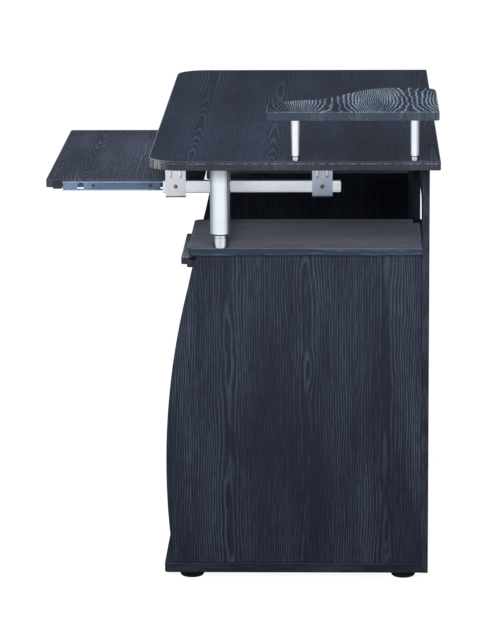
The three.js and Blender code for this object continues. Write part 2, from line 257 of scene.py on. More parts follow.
def band_mask(tree, value, rise, fall):
    """One between the two stretches over which it rises and falls."""
    up = remap(tree, value, rise[0], rise[1], 0.0, 1.0, True)
    down = remap(tree, value, fall[0], fall[1], 1.0, 0.0, True)
    return calc(tree, "MULTIPLY", up, down)


def ash(name, along, across, dark, light, seed, spacing=9 * MM, swirl=5.0, figure=(0.75, 0.085),
        ragged=0.35, ragged_size=(0.10, 0.02), contrast=0.55, edge_contrast=0.35, edge=0.35, gloss=0.50,
        streak=0.09, fleck=0.10, band_line=None, barrels=None, arches=None, upper=None, inward=0.0,
        front_light=0.0, coat=0.0, far_end=0.0):
    """Black ash laminate. The figure is the contour lines of a slow noise that is stretched along the grain.
    band_line is the height at which a dashed painted highlight runs round the board, along the top of its
    edge band.
    upper gives the dark and the light colour of the upward face, if they differ from the edges, and inward is
    how much painted light makes the upward face lighter away from the desk's end. front_light is the strength
    of the painted highlight along the band's front line and on the front corner. far_end is how much painted
    shade darkens the board along the grain, towards its low end. edge is the strength of the painted
    highlight on the rounding along the top of every edge."""
    material, tree = material_tree(name)
    u, v, w = axes_of(tree, along, across)
    length, width = figure
    slow = noise(tree, stretched(tree, (u, v, w), (1 / length, 1 / width, 1 / length), seed), 1.2, 0.4)
    rag_length, rag_width = ragged_size
    rough = noise(tree, stretched(tree, (u, v, w), (1 / rag_length, 1 / rag_width, 8.0), seed + 11), 2.0, 0.6)
    lines_at, crowded, firm = calc(tree, "DIVIDE", v, spacing), 1.0, 1.0
    if barrels:
        lines_at, crowded = barrel_figure(tree, u, v, spacing, barrels)
    if arches:
        lines_at, firm = arch_figure(tree, u, v, spacing, arches)
    phase = calc(tree, "MULTIPLY_ADD", slow, 2 * swirl, lines_at)
    phase = calc(tree, "MULTIPLY_ADD", rough, 2 * ragged, phase)
    line = grain_line(tree, calc(tree, "DIVIDE", calc(tree, "FRACT", phase), crowded))

    pores = noise(tree, stretched(tree, (u, v, w), (45.0, 1100.0, 500.0), seed + 23), 2.0, 0.6)
    pores = remap(tree, pores, 0.36, 0.60, 0.35, 1.0)
    flecks = noise(tree, stretched(tree, (u, v, w), (28.0, 480.0, 200.0), seed + 61), 2.0, 0.6)
    streaks = noise(tree, stretched(tree, (u, v, w), (2.5, 240.0, 90.0), seed + 31), 2.0, 0.6)
    cloud = noise(tree, stretched(tree, (u, v, w), (2.2, 12.0, 3.0), seed + 43), 2.0, 0.5)

    normal = add(tree, "ShaderNodeNewGeometry").outputs["Normal"]
    facing = add(tree, "ShaderNodeSeparateXYZ", {0: normal}).outputs
    # shoulder marks the rounding along the top of each edge, which a painted highlight lightens.
    shoulder = band_mask(tree, facing[Z], (0.60, 0.985), (0.992, 0.999))
    edgewise = calc(tree, "MAXIMUM", calc(tree, "ABSOLUTE", facing[along]),
                    calc(tree, "ABSOLUTE", facing[across]))
    edge_face = remap(tree, edgewise, 0.8, 0.95, contrast, edge_contrast * contrast)

    figure_value = calc(tree, "MULTIPLY", line, pores)
    strength = calc(tree, "MULTIPLY", edge_face, remap(tree, cloud, 0.32, 0.68, 0.35, 1.35))
    value = calc(tree, "MULTIPLY", figure_value, calc(tree, "MULTIPLY", strength, firm))
    if arches:
        value = calc(tree, "MULTIPLY_ADD", calc(tree, "SUBTRACT", 1.0, firm), -0.10, value)
    value = calc(tree, "ADD", value, remap(tree, streaks, 0.3, 0.7, -streak, streak))
    value = calc(tree, "ADD", value, remap(tree, flecks, 0.3, 0.7, -fleck, fleck))
    value = calc(tree, "ADD", value, remap(tree, cloud, 0.3, 0.7, -0.08, 0.12))
    # Painted shade: the board darkens along the grain towards its far end, where less light falls.
    if far_end:
        value = calc(tree, "ADD", value, remap(tree, u, 0.15, -0.50, 0.0, -far_end))
    # Painted highlight on the top edge's rounding, as strong as edge says.
    value = calc(tree, "MULTIPLY_ADD", shoulder, edge, value)
    # A dashed painted highlight along the top of the edge band.
    if band_line:
        dashes = noise(tree, stretched(tree, (u, v, w), (14.0, 130.0, 14.0), seed + 71), 2.0, 0.6)
        rim = band_mask(tree, w, (band_line - 0.9 * MM, band_line - 0.4 * MM),
                        (band_line + 0.4 * MM, band_line + 0.9 * MM))
        rim_glints = calc(tree, "MULTIPLY", rim, remap(tree, dashes, 0.42, 0.58, 0.1, 1.0, True))
        value = calc(tree, "MULTIPLY_ADD", rim_glints, RIM_LIGHT, value)
    value = calc(tree, "MAXIMUM", value, 0.0)
    colour = blend_past_end(tree, value, dark, light)
    if upper:
        upward = remap(tree, facing[Z], 0.80, 0.95, 0.0, 1.0)
        # Painted light: the upward face gets lighter away from the desk's end, where less light reaches it.
        painted_fill = remap(tree, calc(tree, "ABSOLUTE", v), 0.28, 0.56, inward, 0.0)
        colour = mix(tree, upward, colour, blend_past_end(tree, calc(tree, "ADD", value, painted_fill), *upper))
    # A painted highlight along the front edge's rounding, with streaks of it on the front corner.
    if front_light:
        forward = calc(tree, "MULTIPLY", facing[Y], -1.0)
        line_there = calc(tree, "MULTIPLY", shoulder, remap(tree, forward, 0.10, 0.45, 0.0, 1.0))
        stripes = noise(tree, stretched(tree, (u, v, w), (260.0, 260.0, 20.0), seed + 83), 2.0, 0.6)
        corner = calc(tree, "MULTIPLY", band_mask(tree, forward, (0.30, 0.80), (0.97, 0.995)),
                      remap(tree, stripes, 0.40, 0.68, 0.0, 0.45))
        shine = calc(tree, "MAXIMUM", line_there, corner)
        colour = mix(tree, calc(tree, "MULTIPLY", shine, front_light), colour, FRONT_HIGHLIGHT)
    relief = calc(tree, "MULTIPLY_ADD", streaks, 0.4, figure_value)
    bump = add(tree, "ShaderNodeBump", {"Strength": 0.16, "Distance": 0.25 * MM, "Height": relief})
    worn = remap(tree, calc(tree, "ADD", value, cloud), 0.2, 1.6, gloss + 0.05, gloss - 0.07)
    surface(tree, {
        "Base Color": colour,
        "Roughness": worn,
        "Normal": bump.outputs[0],
        "Specular IOR Level": 0.10,
        "Coat Weight": coat,
        "Coat Roughness": 0.02,
    })
    return material


# ---- metals and plastic ----


METAL_BRUSH = 0.05
METAL_TINT_LENGTH = 0.12
METAL_SHADE = (0.02, 0.02, 0.025, 1)


def metal(name, base, other, roughness, along, shade=None, flanks=None):
    """Drawn or rolled metal: fine lines along one axis, slow shifts of tint and a faint orange peel.
    shade is (start, end, level): painted shade darkens the metal along the axis to that level, from start to
    end.
    flanks is a list of (how far a turned face looks along X, level), which paints shade and highlights round
    a turned face as a painted reflection."""
    material, tree = material_tree(name)
    across = (along + 1) % 3
    u, v, w = axes_of(tree, along, across)
    lines = noise(tree, stretched(tree, (u, v, w), (6.0, 2600.0, 2600.0), 2.0), 3.0, 0.6)
    drift = noise(tree, stretched(tree, (u, v, w), (1 / METAL_TINT_LENGTH, 14.0, 14.0), 5.0), 2.0, 0.5)
    specks = noise(tree, stretched(tree, (u, v, w), (900.0, 900.0, 900.0), 9.0), 2.0, 0.5)
    tint = remap(tree, drift, 0.32, 0.68, 0.0, 1.0)
    worn = calc(tree, "MULTIPLY_ADD", lines, 2 * METAL_BRUSH, roughness - METAL_BRUSH)
    height = calc(tree, "MULTIPLY_ADD", specks, 0.5, lines)
    bump = add(tree, "ShaderNodeBump", {"Strength": 0.05, "Distance": 0.05 * MM, "Height": height})
    colour = mix(tree, tint, base, other)
    level = remap(tree, u, shade[0], shade[1], 1.0, shade[2], True) if shade else 1.0
    if flanks:
        normal = add(tree, "ShaderNodeNewGeometry").outputs["Normal"]
        facing = calc(tree, "ABSOLUTE", add(tree, "ShaderNodeSeparateXYZ", {0: normal}).outputs[X])
        ramp = add(tree, "ShaderNodeValToRGB", {"Fac": facing})
        elements = ramp.color_ramp.elements
        while len(elements) < len(flanks):
            elements.new(0.5)
        for element, (at, amount) in zip(elements, flanks):
            element.position = at
            element.color = (amount, amount, amount, 1.0)
        level = calc(tree, "MULTIPLY", ramp.outputs["Color"], level)
    # Painted shade and painted reflection blend the colour towards a near-black metal.
    if shade or flanks:
        colour = mix(tree, level, METAL_SHADE, colour)
    surface(tree, {
        "Base Color": colour,
        "Metallic": 1.0,
        "Roughness": calc(tree, "MULTIPLY_ADD", drift, 0.06, worn),
        "Normal": bump.outputs[0],
    })
    return material


def plastic(name, base, other, roughness):
    """Moulded black plastic with a fine spark-eroded texture."""
    material, tree = material_tree(name)
    u, v, w = axes_of(tree, Z, X)
    grit = noise(tree, stretched(tree, (u, v, w), (1400.0, 1400.0, 1400.0), 1.0), 3.0, 0.6)
    dust = noise(tree, stretched(tree, (u, v, w), (60.0, 60.0, 60.0), 4.0), 3.0, 0.6)
    bump = add(tree, "ShaderNodeBump", {"Strength": 0.25, "Distance": 0.08 * MM, "Height": grit})
    surface(tree, {
        "Base Color": mix(tree, remap(tree, dust, 0.4, 0.75, 0.0, 1.0), base, other),
        "Roughness": calc(tree, "MULTIPLY_ADD", grit, 0.16, roughness - 0.08),
        "Normal": bump.outputs[0],
    })
    return material


ASH_DARK = linear(37, 40, 52)
ASH_LIGHT = linear(88, 99, 114)
TOP_DARK = linear(29, 30, 49)
TOP_LIGHT = linear(84, 93, 115)
RIM_LIGHT = 1.6
# The colour of the painted highlight on the desktop's front edge.
FRONT_HIGHLIGHT = linear(234, 231, 227)
SHELF_BARRELS = {"middle": 0.43, "reach": 0.13, "cluster": 0.109, "pitch": 0.141, "bend": 0.012, "crowd": 1.5}
DESKTOP_ARCHES = {"heart": -0.083, "pitch": 0.147, "round": 0.30, "start": -0.15, "way": 1, "rise": 0.12,
                  "fade": 0.0}
TRAY_ARCHES = {"heart": -0.298, "pitch": 0.19, "round": 0.14, "start": 0.30, "way": -1, "rise": 0.08,
               "fade": 0.0}
PANEL_ARCHES = {"heart": -0.017, "pitch": 0.145, "round": 0.40, "start": 0.75, "way": -1, "rise": 0.9,
                "fade": 0.35}
DESK_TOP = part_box("desktop")[1].z
POST_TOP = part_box("right_desk_post")[1].z
# Painted reflection round the collar: dark flanks and two highlights, by how far the face looks along X.
COLLAR_REFLECTION = [(0.0, 0.10), (0.45, 0.28), (0.80, 0.85), (0.93, 1.0), (0.985, 0.72), (1.0, 0.70)]

MATERIALS = {
    # Desktop: edge, band_line and front_light paint highlights on its edges, and far_end paints shade towards
    # its far end.
    "desktop": ash("desktop_ash", X, Y, linear(32, 33, 42), linear(84, 91, 104), 3.0, spacing=5.2 * MM,
                   upper=(TOP_DARK, TOP_LIGHT), swirl=2.0,
                   figure=(0.30, 0.10), ragged=0.25, contrast=0.80, edge=0.70, gloss=0.34,
                   fleck=0.16, band_line=DESK_TOP - 4.4 * MM, arches=DESKTOP_ARCHES, front_light=1.0,
                   coat=0.42, far_end=0.14),
    "tray": ash("tray_ash", X, Y, linear(68, 70, 83), linear(143, 149, 165), 17.0, spacing=5.6 * MM,
                swirl=3.0, figure=(0.30, 0.09), ragged=0.40, contrast=0.62, edge=0.3, fleck=0.16,
                arches=TRAY_ARCHES),
    "shelf": ash("shelf_ash", X, Y, linear(56, 65, 77), linear(157, 167, 181), 29.0, spacing=6.2 * MM,
                 upper=(linear(49, 58, 69), linear(196, 207, 221)),
                 swirl=1.8, figure=(0.28, 0.09), ragged=0.55, ragged_size=(0.03, 0.02), contrast=1.0,
                 edge_contrast=0.08, edge=0.5, streak=0.05, fleck=0.07, barrels=SHELF_BARRELS),
    "panel": ash("panel_ash", Z, Y, ASH_DARK, ASH_LIGHT, 41.0, spacing=4.5 * MM, swirl=1.5,
                 figure=(0.11, 0.045), ragged=0.30, ragged_size=(0.07, 0.012), contrast=0.58,
                 fleck=0.14, arches=PANEL_ARCHES),
    "back": ash("back_ash", Z, X, ASH_DARK, ASH_LIGHT, 53.0, spacing=4.5 * MM, swirl=1.5,
                figure=(0.11, 0.045), ragged=0.30, ragged_size=(0.07, 0.012), contrast=0.58,
                fleck=0.14, arches=PANEL_ARCHES),
    "lengthways": ash("lengthways_ash", Y, X, ASH_DARK, ASH_LIGHT, 67.0, spacing=7 * MM, swirl=4.5,
                      figure=(0.8, 0.09), ragged=0.2, contrast=0.25, gloss=0.40),
    # Pedestal tops: the upward face is painted much lighter than the edges, as painted light where the
    # desktop keeps light from it, and inward adds more of it away from the desk's end.
    "pedestal_top": ash("pedestal_top_ash", Y, X, linear(46, 54, 68), linear(98, 108, 124), 79.0,
                        spacing=7 * MM, swirl=4.5, figure=(0.8, 0.09), ragged=0.2, contrast=0.14,
                        streak=0.45, fleck=0.30, gloss=0.34, inward=0.30,
                        upper=(linear(93, 95, 108), linear(190, 192, 205))),
    # The pull-out board's upward face is painted much lighter than its edges: a painted reflection of the
    # bright room on its glossy top.
    "pull_out": ash("pull_out_ash", X, Y, ASH_DARK, ASH_LIGHT, 97.0, spacing=7 * MM, swirl=5.0,
                    figure=(0.5, 0.1), contrast=0.3, fleck=0.3,
                    upper=(linear(104, 106, 112), linear(206, 208, 214))),
    "silver": metal("satin_silver", linear(248, 248, 250), linear(238, 241, 245), 0.28, Z),
    # Painted shade: the desk posts darken towards their tops, under the desktop.
    "desk_post": metal("desk_post_silver", linear(232, 234, 237), linear(220, 225, 231), 0.24, Z,
                       shade=(POST_TOP - 34 * MM, POST_TOP - 6 * MM, 0.45)),
    "collar": metal("turned_silver", linear(236, 236, 240), linear(214, 216, 224), 0.24, Z,
                    flanks=COLLAR_REFLECTION),
    "rail": metal("satin_silver_rail", linear(255, 255, 255), linear(238, 243, 246), 0.32, Y),
    "bracket": metal("bracket_silver", linear(235, 234, 236), linear(221, 222, 227), 0.36, Z),
    # A darker copy of the bracket silver: painted shade on the rear brackets, under the desktop.
    "rear_bracket": metal("silver_in_painted_shade", linear(195, 202, 215), linear(179, 188, 203), 0.36, Z),
    # Painted shade: the zinc darkens from near the slides' front end towards the rear, under the desktop.
    "zinc": metal("blue_zinc", linear(123, 143, 172), linear(109, 122, 147), 0.30, Y,
                  shade=(-0.300, -0.270, 0.58)),
    # A near-white zinc: a painted highlight on the moving members' bent edges.
    "zinc_bend_highlight": metal("blue_zinc_bend_shine", linear(222, 234, 246), linear(196, 214, 234), 0.30, Y),
    "steel": metal("ball_steel", linear(214, 216, 220), linear(198, 202, 208), 0.18, Y),
    "plastic": plastic("black_plastic", linear(23, 24, 30), linear(48, 50, 60), 0.50),
    "brass": metal("screw_brass", linear(206, 168, 104), linear(168, 138, 96), 0.32, X),
}

# ---- mesh helpers ----


def piece(name, verts, faces, material, body, slot, stands_for=(), sharp_angle=34.0):
    """A mesh object on its body, smooth shaded up to the sharp angle."""
    mesh = bpy.data.meshes.new(name)
    mesh.from_pydata([tuple(v) for v in verts], [], faces)
    mesh.validate()
    tidy = bmesh.new()
    tidy.from_mesh(mesh)
    bmesh.ops.recalc_face_normals(tidy, faces=tidy.faces)
    tidy.to_mesh(mesh)
    tidy.free()
    return finish_piece(bpy.data.objects.new(name, mesh), material, body, slot, stands_for, sharp_angle)


def finish_piece(obj, material, body, slot, stands_for=(), sharp_angle=34.0):
    if obj.name not in bpy.context.scene.collection.objects:
        bpy.context.scene.collection.objects.link(obj)
    obj.data.materials.clear()
    obj.data.materials.append(MATERIALS[material])
    obj.data.polygons.foreach_set("use_smooth", [True] * len(obj.data.polygons))
    obj.data.set_sharp_from_angle(angle=math.radians(sharp_angle))
    weighted = obj.modifiers.new("even_normals", "WEIGHTED_NORMAL")
    weighted.keep_sharp = True
    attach(obj, body)
    if stands_for:
        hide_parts(*stands_for)
    return obj


def paint_faces(obj, material, chosen):
    """Gives a second material to the faces that the test chooses from their centre and normal."""
    obj.data.materials.append(MATERIALS[material])
    last = len(obj.data.materials) - 1
    for face in obj.data.polygons:
        if chosen(face.center, face.normal):
            face.material_index = last


def body_with(node):
    """The body that carries a CAD node."""
    bodies = frame["record"]["behaviour"]["bodies"]
    return next(body for body, nodes in bodies.items() if node in nodes)


def slot_of(node):
    """The record's material slot of a CAD node."""
    return next(s["material_slot"] for s in frame["record"]["subparts"] if s["node"] == node)


def arc(centre, radius, start, end, steps):
    """Points of an arc, from one angle to the other in degrees."""
    angles = [math.radians(start + (end - start) * k / steps) for k in range(steps + 1)]
    return [(centre[0] + radius * math.cos(a), centre[1] + radius * math.sin(a)) for a in angles]


def outline_of(node, axis):
    """The board's outline as a list of points, from the CAD node's largest face across the axis."""
    bm = bmesh.new()
    bm.from_mesh(frame["nodes"][node].data)
    bmesh.ops.remove_doubles(bm, verts=bm.verts, dist=1e-5)
    bmesh.ops.dissolve_limit(bm, angle_limit=math.radians(0.15), verts=bm.verts, edges=bm.edges)
    across = [f for f in bm.faces if f.normal[axis] > 0.99]
    points = [v.co.copy() for v in max(across, key=lambda f: f.calc_area()).verts]
    bm.free()
    return points


def slab(points, axis, thick, ease, segments=3, low_ease=None):
    """A board below the outline along the axis, with its edges eased round both faces. The low face may have
    an ease of its own."""
    bm = bmesh.new()
    top = bm.faces.new([bm.verts.new(p) for p in points])
    drawn = bmesh.ops.extrude_face_region(bm, geom=[top])["geom"]
    step = Vector((0, 0, 0))
    step[axis] = -thick
    bmesh.ops.translate(bm, vec=step, verts=[g for g in drawn if isinstance(g, bmesh.types.BMVert)])
    bmesh.ops.recalc_face_normals(bm, faces=bm.faces)
    high = points[0][axis]
    low = high - thick

    for level, size in ((high, ease), (low, low_ease or ease)):
        rims = [e for e in bm.edges if all(abs(v.co[axis] - level) < 1e-6 for v in e.verts)]
        bmesh.ops.bevel(bm, geom=rims, offset=size, offset_type="OFFSET", segments=segments, profile=0.5,
                        affect="EDGES", clamp_overlap=True)
    return bm


def board(name, node, axis, material, ease=BOARD_EASE, segments=3):
    lo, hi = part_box(node)
    bm = slab(outline_of(node, axis), axis, hi[axis] - lo[axis], ease, segments, min(ease, LOW_EASE))
    mesh = bpy.data.meshes.new(name)
    bm.to_mesh(mesh)
    bm.free()
    obj = bpy.data.objects.new(name, mesh)
    return finish_piece(obj, material, body_with(node), slot_of(node), (node,), 50.0)


def turned(profile, centre, steps=POST_STEPS, axis=Z):
    """Vertices and faces of a turned solid, from (radius, height) pairs. A profile that doesn't start
    and end on the axis closes on itself, as a tube does."""
    closed = profile[0][0] > 0
    verts, faces, rings = [], [], []
    turn = Matrix.Identity(3) if axis == Z else Vector((0, 0, 1)).rotation_difference(axis).to_matrix()
    for radius, height in profile:
        if radius == 0:
            rings.append([len(verts)])
            verts.append(turn @ Vector((0, 0, height)) + centre)
            continue
        rings.append(list(range(len(verts), len(verts) + steps)))
        for k in range(steps):
            a = 2 * math.pi * k / steps
            verts.append(turn @ Vector((radius * math.cos(a), radius * math.sin(a), height)) + centre)
    pairs = list(zip(rings, rings[1:])) + ([(rings[-1], rings[0])] if closed else [])
    for low, high in pairs:
        for k in range(steps):
            n = (k + 1) % steps
            if len(low) == 1:
                faces.append((low[0], high[n], high[k]))
            elif len(high) == 1:
                faces.append((low[k], low[n], high[0]))
            else:
                faces.append((low[k], low[n], high[n], high[k]))
    return verts, faces


def joined(shapes):
    """Several vertex and face lists as one."""
    verts, faces = [], []
    for more_verts, more_faces in shapes:
        start = len(verts)
        verts += more_verts
        faces += [tuple(start + i for i in face) for face in more_faces]
    return verts, faces


def carve(obj, cutters):
    """Cuts the cutters' shapes out of the object and removes them."""
    for verts, faces in cutters:
        mesh = bpy.data.meshes.new("cutter")
        mesh.from_pydata([tuple(v) for v in verts], [], faces)
        tidy = bmesh.new()
        tidy.from_mesh(mesh)
        bmesh.ops.recalc_face_normals(tidy, faces=tidy.faces)
        tidy.to_mesh(mesh)
        tidy.free()
        cutter = bpy.data.objects.new("cutter", mesh)
        bpy.context.scene.collection.objects.link(cutter)
        cut = obj.modifiers.new("cut", "BOOLEAN")
        cut.operation, cut.object, cut.solver = "DIFFERENCE", cutter, "EXACT"
        bpy.context.view_layer.update()
        evaluated = obj.evaluated_get(bpy.context.evaluated_depsgraph_get())
        result = bpy.data.meshes.new_from_object(evaluated)
        obj.modifiers.remove(cut)
        obj.data = result
        bpy.data.objects.remove(cutter)


# ---- boards ----

BOARDS = {
    "desktop": (Z, "desktop", DESKTOP_EASE, 5),
    "elevated_shelf": (Z, "shelf", SHELF_EASE, 4),
    "keyboard_tray": (Z, "tray", BOARD_EASE * 1.5, 4),
    "pull_out_board": (Z, "pull_out", BOARD_EASE * 1.5, 4),
    "modesty_panel": (Y, "back", BOARD_EASE, 3),
    "left_pedestal_shelf": (Z, "lengthways", BOARD_EASE, 3),
}
for hand in SIDES:
    BOARDS[f"{hand}_base"] = (Z, "lengthways", BOARD_EASE * 1.5, 3)
    BOARDS[f"{hand}_pedestal_top"] = (Z, "pedestal_top", BOARD_EASE * 1.5, 3)
    BOARDS[f"{hand}_back_panel"] = (Y, "back", BOARD_EASE, 3)
    for place in ("outer", "inner"):
        BOARDS[f"{hand}_{place}_side"] = (X, "panel", BOARD_EASE, 3)


def make_boards():
    for node, (axis, material, ease, segments) in BOARDS.items():
        board(f"{node}_laminate", node, axis, material, ease, segments)


# ---- posts and feet ----


def make_post(node, material, wall, rim, groove):
    """A tube with rounded rims that stands on a turned collar. A slim neck on the collar leaves a shadow line
    under the tube, and a groove may run round the collar at a depth below the neck."""
    lo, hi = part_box(node)
    centre = Vector(((lo.x + hi.x) / 2, (lo.y + hi.y) / 2, 0))
    outer = (hi.x - lo.x) / 2
    inner = outer - wall
    profile = [(inner, lo.z + rim)] + arc((inner + rim, lo.z + rim), rim, 180, 270, 4)[1:]
    profile += arc((outer - rim, lo.z + rim), rim, 270, 360, 5)
    profile += arc((outer - rim, hi.z - rim), rim, 0, 90, 5) + [(inner, hi.z)]
    verts, faces = turned(profile, centre)
    piece(f"{node}_tube", verts, faces, material, "desk", slot_of(node), (node,))

    collar = f"{node}_collar"
    lo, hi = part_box(collar)
    radius, height = (hi.x - lo.x) / 2, hi.z - lo.z
    neck_height, neck_radius = NECK_HEIGHT * radius, NECK_RADIUS * radius
    shoulder = height - neck_height
    steps = [(0, 0), (radius - 0.5 * rim, 0), (radius, 0.5 * rim)]
    if groove:
        middle, half, deep = shoulder - groove, 0.7 * MM, 1.0 * MM
        steps += [(radius, middle - half), (radius - deep, middle - 0.5 * half)]
        steps += [(radius - deep, middle + 0.5 * half), (radius, middle + half)]
    steps += [(radius, shoulder - 0.5 * rim), (radius - 0.5 * rim, shoulder)]
    steps += [(neck_radius, shoulder), (neck_radius, height), (0, height)]
    verts, faces = turned([(r, z + lo.z) for r, z in steps], centre)
    piece(f"{collar}_turned", verts, faces, "collar", "desk", slot_of(collar), (collar,))


def make_posts():
    for hand in SIDES:
        make_post(f"{hand}_desk_post", "desk_post", DESK_POST_WALL, DESK_POST_RIM, COLLAR_GROOVE)
    for place in ("front", "rear", "inner"):
        make_post(f"shelf_{place}_post", "silver", SHELF_POST_WALL, SHELF_POST_RIM, None)


def make_foot(node):
    """A moulded glide: a domed rim, a groove under the flange and a shallow hollow underneath."""
    lo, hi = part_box(node)
    centre = Vector(((lo.x + hi.x) / 2, (lo.y + hi.y) / 2, 0))
    radius, height = (hi.x - lo.x) / 2, hi.z - lo.z
    profile = [(0, 0.8 * MM), (0.60 * radius, 0.8 * MM), (0.66 * radius, 0), (0.76 * radius, 0)]
    profile += arc((0.76 * radius, 0.24 * radius), 0.24 * radius, -80, 0, 8)
    profile += [(radius, 0.60 * height), (0.955 * radius, 0.64 * height), (0.955 * radius, 0.70 * height)]
    profile += [(radius, 0.74 * height), (radius, height - 0.6 * MM)]
    profile += [(radius - 0.6 * MM, height), (0, height)]
    verts, faces = turned([(r, lo.z + z) for r, z in profile], centre, FOOT_STEPS)
    piece(f"{node}_glide", verts, faces, "plastic", "desk", slot_of(node), (node,))


def make_feet():
    for hand in SIDES:
        for place in ("outer_front", "outer_rear", "inner_front", "inner_rear"):
            make_foot(f"{hand}_{place}_foot")


# ---- ball slides ----
# A section is drawn with u from the member's web towards its lips and v up from the slide's centre.


def mirrored(half):
    """A whole section path from its upper half, which starts at the middle of the web."""
    return [(u, -v) for u, v in reversed(half[1:])] + half


def outer_path(depth, height):
    h, web = (height - SLIDE_SHEET) / 2, SLIDE_SHEET / 2
    half = [(web, 0), (web, (h - SLIDE_BEND) / 2)]
    half += arc((web + SLIDE_BEND, h - SLIDE_BEND), SLIDE_BEND, 180, 90, 6)
    half += arc((depth - web - SLIDE_CURL, h - SLIDE_CURL), SLIDE_CURL, 90, 25, 4)
    return mirrored(half)


def inner_path(depth, height):
    """The moving member's flanges carry the ball race as a shallow dip."""
    h, web = (height - SLIDE_SHEET) / 2, SLIDE_SHEET / 2
    bend = 0.7 * SLIDE_BEND
    half = [(web, 0), (web, (h - bend) / 2)] + arc((web + bend, h - bend), bend, 180, 90, 5)
    start, end = web + bend, depth
    for k in range(1, 9):
        share = k / 8
        half.append((start + (end - start) * share, h - RACE_DIP * math.sin(math.pi * share) ** 2))
    return mirrored(half)


def offset_sides(path, sheet):
    """The two faces of a sheet that follows a path."""
    faces = ([], [])
    for k, (u, v) in enumerate(path):
        before, after = path[max(k - 1, 0)], path[min(k + 1, len(path) - 1)]
        along = Vector((after[0] - before[0], after[1] - before[1])).normalized()
        normal = Vector((-along.y, along.x))
        faces[0].append((u + normal.x * sheet / 2, v + normal.y * sheet / 2))
        faces[1].append((u - normal.x * sheet / 2, v - normal.y * sheet / 2))
    return faces


def drawn_sheet(path, sheet, rows, place):
    """A bent sheet: the path's two faces repeated at each row, closed at its lips and at its ends.
    place turns (u, v, row) into a point."""
    sides = offset_sides(path, sheet)
    count, width = len(path), 2 * len(path)
    verts = []
    for row in rows:
        for points in sides:
            verts += [place(u, v, row) for u, v in points]
    faces = []
    for j in range(len(rows) - 1):
        a, b = j * width, (j + 1) * width
        for k in range(count - 1):
            faces.append((a + k, a + k + 1, b + k + 1, b + k))
            faces.append((a + count + k, b + count + k, b + count + k + 1, a + count + k + 1))
        for k in (0, count - 1):
            faces.append((a + k, b + k, b + count + k, a + count + k))
    for start in (0, (len(rows) - 1) * width):
        for k in range(count - 1):
            faces.append((start + k, start + k + 1, start + count + k + 1, start + count + k))
    return verts, faces


def rail_shape(node, path, sheet, web_high, rounded_end=False):
    """A slide member in the place of its CAD node. web_high says that its web is on the +X side."""
    lo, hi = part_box(node)
    plane, way = (hi.x, -1) if web_high else (lo.x, 1)
    middle, half = (lo.z + hi.z) / 2, (hi.z - lo.z) / 2
    radius = SLIDE_END_RADIUS

    def place(u, v, row):
        y, at_end = row
        over = max(0.0, abs(v) - (half - radius))
        drawn_in = radius - math.sqrt(max(0.0, radius ** 2 - over ** 2)) if at_end and rounded_end else 0
        return Vector((plane + way * u, y - drawn_in, middle + v))

    rows = [(lo.y, False), (hi.y - 4 * radius, False), (hi.y, True)]
    return drawn_sheet(path, sheet, rows, place)


def window_shape(x0, x1, y0, y1, middle, height):
    """A window with a rounded top, as a solid to cut with."""
    radius = (y1 - y0) / 2
    bottom, shoulder = middle - height / 2, middle + height / 2 - radius
    outline = [(y0, bottom), (y1, bottom)] + arc(((y0 + y1) / 2, shoulder), radius, 0, 180, 12)
    verts = [Vector((x, y, z)) for x in (x0, x1) for y, z in outline]
    count = len(outline)
    faces = [tuple(range(count)), tuple(range(count, 2 * count))]
    faces += [(k, (k + 1) % count, count + (k + 1) % count, count + k) for k in range(count)]
    return verts, faces


def rod_shape(radius, x0, x1, y, z, steps=32):
    profile = [(0, 0), (radius, 0), (radius, x1 - x0), (0, x1 - x0)]
    return turned(profile, Vector((x0, y, z)), steps, Vector((1, 0, 0)))


def hole_rim(plane, way, y, z):
    """A low rounded ring round a punched hole, on the web's open face."""
    inner, outer, high = INNER_HOLE_RADIUS, HOLE_RIM_RADIUS, HOLE_RIM_HEIGHT
    profile = [(inner, -high), (outer, -high), (outer, 0.3 * high), (0.9 * outer, 0.8 * high)]
    profile += [(1.1 * inner, high), (inner, 0.7 * high)]
    return turned(profile, Vector((plane, y, z)), 32, Vector((way, 0, 0)))


def make_fixed_member(node, web_high):
    lo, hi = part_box(node)
    path = outer_path(hi.x - lo.x, hi.z - lo.z)
    verts, faces = rail_shape(node, path, SLIDE_SHEET, web_high, rounded_end=True)
    piece(f"{node}_rolled", verts, faces, "rail", body_with(node), slot_of(node), (node,))


